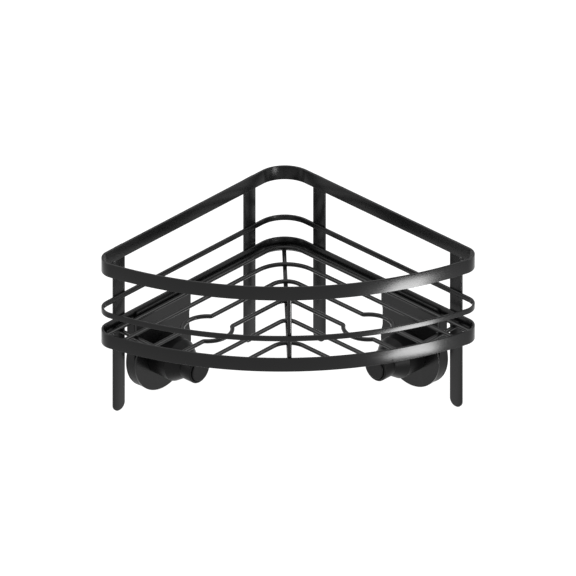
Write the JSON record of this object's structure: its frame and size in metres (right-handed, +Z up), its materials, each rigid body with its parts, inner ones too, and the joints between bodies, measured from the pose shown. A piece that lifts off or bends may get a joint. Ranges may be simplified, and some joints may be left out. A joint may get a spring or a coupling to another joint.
{
  "type": "shower caddy",
  "caption": "Corner wire basket with flat rails and posts, bottle openings in its floor, held to both walls by push-lock suction mounts.",
  "frame": {"origin": "on the ground, at the middle of the caddy's own box", "axes": "+Z up, +Y towards the room's corner, +X to the right seen from the front"},
  "size_m": [0.299, 0.196, 0.1533],
  "materials": {
    "frame_coat": "satin black powder coat on flat steel bar",
    "wire_coat": "satin black powder coat on round steel wire",
    "mount_shell": "moulded black plastic, soft sheen",
    "push_button": "moulded black plastic, satin face",
    "moulded_plastic": "moulded black plastic, fine texture",
    "cup_rubber": "smooth black rubber",
    "rocker_steel": "pressed steel",
    "plated_steel": "zinc-plated steel",
    "spring_steel": "drawn spring steel"
  },
  "bodies": {
    "root": {"top_rail": "frame_coat", "mid_rail": "frame_coat", "bottom_rail": "frame_coat", "front_strut": "wire_coat", "spine_wire": "wire_coat", "floor_wire_1": "wire_coat", "floor_wire_2": "wire_coat", "floor_wire_3": "wire_coat", "floor_wire_4": "wire_coat", "floor_wire_5": "wire_coat", "floor_wire_6": "wire_coat", "rear_post_left": "frame_coat", "front_post_left": "frame_coat", "corner_wire_left": "wire_coat", "bracket_left": "frame_coat", "rear_post_right": "frame_coat", "front_post_right": "frame_coat", "corner_wire_right": "wire_coat", "bracket_right": "frame_coat", "rocker_pins": "plated_steel", "mount_screws": "plated_steel", "left_suction_cup": "cup_rubber", "left_cup_backing": "moulded_plastic", "left_rocker_base": "moulded_plastic", "left_barrel": "mount_shell", "left_detent_ring": "spring_steel", "right_suction_cup": "cup_rubber", "right_cup_backing": "moulded_plastic", "right_rocker_base": "moulded_plastic", "right_barrel": "mount_shell", "right_detent_ring": "spring_steel"},
    "left_button": {"left_button": "push_button", "left_button_spring": "spring_steel"},
    "left_stem": {"left_stem": "plated_steel", "left_lift_nut": "plated_steel"},
    "left_rocker_upper": {"left_rocker_upper": "rocker_steel"},
    "left_rocker_lower": {"left_rocker_lower": "rocker_steel"},
    "right_button": {"right_button": "push_button", "right_button_spring": "spring_steel"},
    "right_stem": {"right_stem": "plated_steel", "right_lift_nut": "plated_steel"},
    "right_rocker_upper": {"right_rocker_upper": "rocker_steel"},
    "right_rocker_lower": {"right_rocker_lower": "rocker_steel"}
  },
  "joints": [
    {"name": "left_button_slide", "type": "slide", "parent": "root", "child": "left_button", "axis": [0.7071, -0.7071, 0], "range_m": [0, 0.003], "deforming": ["left_button_spring", "left_detent_ring"]},
    {"name": "left_stem_slide", "type": "slide", "parent": "root", "child": "left_stem", "axis": [0.7071, -0.7071, 0], "range_m": [-0.003, 0]},
    {"name": "left_rocker_upper_pivot", "type": "hinge", "parent": "root", "child": "left_rocker_upper", "pos_m": [-0.09424, 0.00079, 0.0435], "axis": [0.7071, 0.7071, 0], "range_deg": [0, 34.92]},
    {"name": "left_rocker_lower_pivot", "type": "hinge", "parent": "root", "child": "left_rocker_lower", "pos_m": [-0.09424, 0.00079, 0.0265], "axis": [0.7071, 0.7071, 0], "range_deg": [-34.92, 0]},
    {"name": "right_button_slide", "type": "slide", "parent": "root", "child": "right_button", "axis": [-0.7071, -0.7071, 0], "range_m": [0, 0.003], "deforming": ["right_button_spring", "right_detent_ring"]},
    {"name": "right_stem_slide", "type": "slide", "parent": "root", "child": "right_stem", "axis": [-0.7071, -0.7071, 0], "range_m": [-0.003, 0]},
    {"name": "right_rocker_upper_pivot", "type": "hinge", "parent": "root", "child": "right_rocker_upper", "pos_m": [0.09424, 0.00079, 0.0435], "axis": [0.7071, -0.7071, 0], "range_deg": [0, 34.92]},
    {"name": "right_rocker_lower_pivot", "type": "hinge", "parent": "root", "child": "right_rocker_lower", "pos_m": [0.09424, 0.00079, 0.0265], "axis": [0.7071, -0.7071, 0], "range_deg": [-34.92, 0]}
  ],
  "couplings": [
    {"joint": "left_stem_slide", "follows": "left_button_slide", "ratio": -1},
    {"joint": "left_rocker_upper_pivot", "follows": "left_button_slide", "rad_per_m": 203.13},
    {"joint": "left_rocker_lower_pivot", "follows": "left_button_slide", "rad_per_m": -203.13},
    {"joint": "right_stem_slide", "follows": "right_button_slide", "ratio": -1},
    {"joint": "right_rocker_upper_pivot", "follows": "right_button_slide", "rad_per_m": 203.13},
    {"joint": "right_rocker_lower_pivot", "follows": "right_button_slide", "rad_per_m": -203.13}
  ]
}
